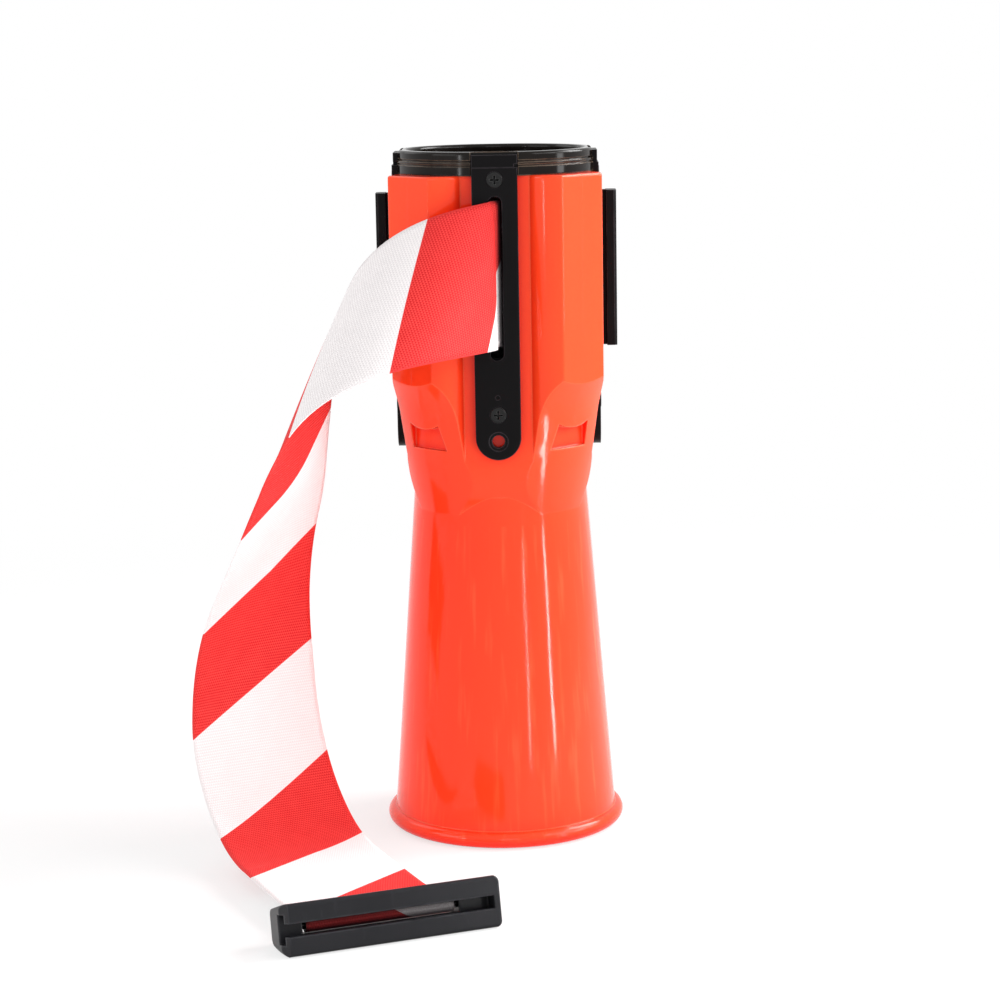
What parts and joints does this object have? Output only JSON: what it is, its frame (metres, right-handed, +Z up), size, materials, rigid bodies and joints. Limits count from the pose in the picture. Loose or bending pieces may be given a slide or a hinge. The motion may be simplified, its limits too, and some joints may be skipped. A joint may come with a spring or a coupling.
{
  "type": "cone topper belt barrier",
  "caption": "Traffic cone topper: a flared skirt under a square head with belt receivers and a spring-wound striped belt that ends in a slotted clip.",
  "frame": {"origin": "centre of the skirt mouth, in the plane of the rim", "axes": "+Z up along the skirt axis, -Y towards the belt outlet"},
  "size_m": [0.2131, 0.2695, 0.3423],
  "materials": {
    "orange_plastic": "glossy orange moulding",
    "gloss_black": "glossy black",
    "satin_black": "satin black",
    "black_screw": "blackened steel",
    "cassette_grey": "dark grey nylon",
    "steel": "zinc plated",
    "spring_steel": "blued spring strip",
    "bush_white": "natural acetal",
    "striped_belt": "red and white slanted stripes on ribbed webbing",
    "clip_black": "satin dark grey"
  },
  "bodies": {
    "topper": {"housing": "orange_plastic", "top_cap": "gloss_black", "front_outlet_plate": "satin_black", "left_receiver": "satin_black", "right_receiver": "satin_black", "rear_receiver": "satin_black", "outlet_plate_screws": "black_screw", "receiver_screws": "black_screw", "cassette_base": "cassette_grey", "cassette_top": "cassette_grey", "cassette_posts": "steel", "cassette_screws": "steel", "spool_axle": "steel", "axle_washer": "steel", "axle_nut": "steel", "retaining_ring": "steel", "spring_arbor": "steel", "belt_feed": "striped_belt"},
    "spool": {"spool_hub": "cassette_grey", "lower_flange": "cassette_grey", "upper_flange": "cassette_grey", "lower_bush": "bush_white", "upper_bush": "bush_white", "spring_cup": "cassette_grey", "recoil_spring": "spring_steel", "belt_roll": "striped_belt"},
    "belt_end": {"belt_tail": "striped_belt", "belt_end_loop": "striped_belt"},
    "clip": {"clip_body": "clip_black", "clip_pin": "steel"}
  },
  "joints": [
    {"name": "belt_pull", "type": "slide", "parent": "topper", "child": "belt_end", "axis": [-0.7738, -0.6334, 0], "range_m": [0, 1.3], "stiffness_N_per_m": 2, "springref_m": -2, "deforming": ["belt_feed"]},
    {"name": "spool_spin", "type": "hinge", "parent": "topper", "child": "spool", "pos_m": [0, 0, 0.2843], "axis": [0, 0, 1], "range_deg": [-4219, 0]},
    {"name": "clip_swing", "type": "hinge", "parent": "belt_end", "child": "clip", "pos_m": [-0.0558, -0.1789, 0.00926], "axis": [0.9285, 0.3714, 0], "range_deg": [-10, 32]}
  ],
  "couplings": [
    {"joint": "spool_spin", "follows": "belt_pull", "rad_per_m": -56.64}
  ]
}
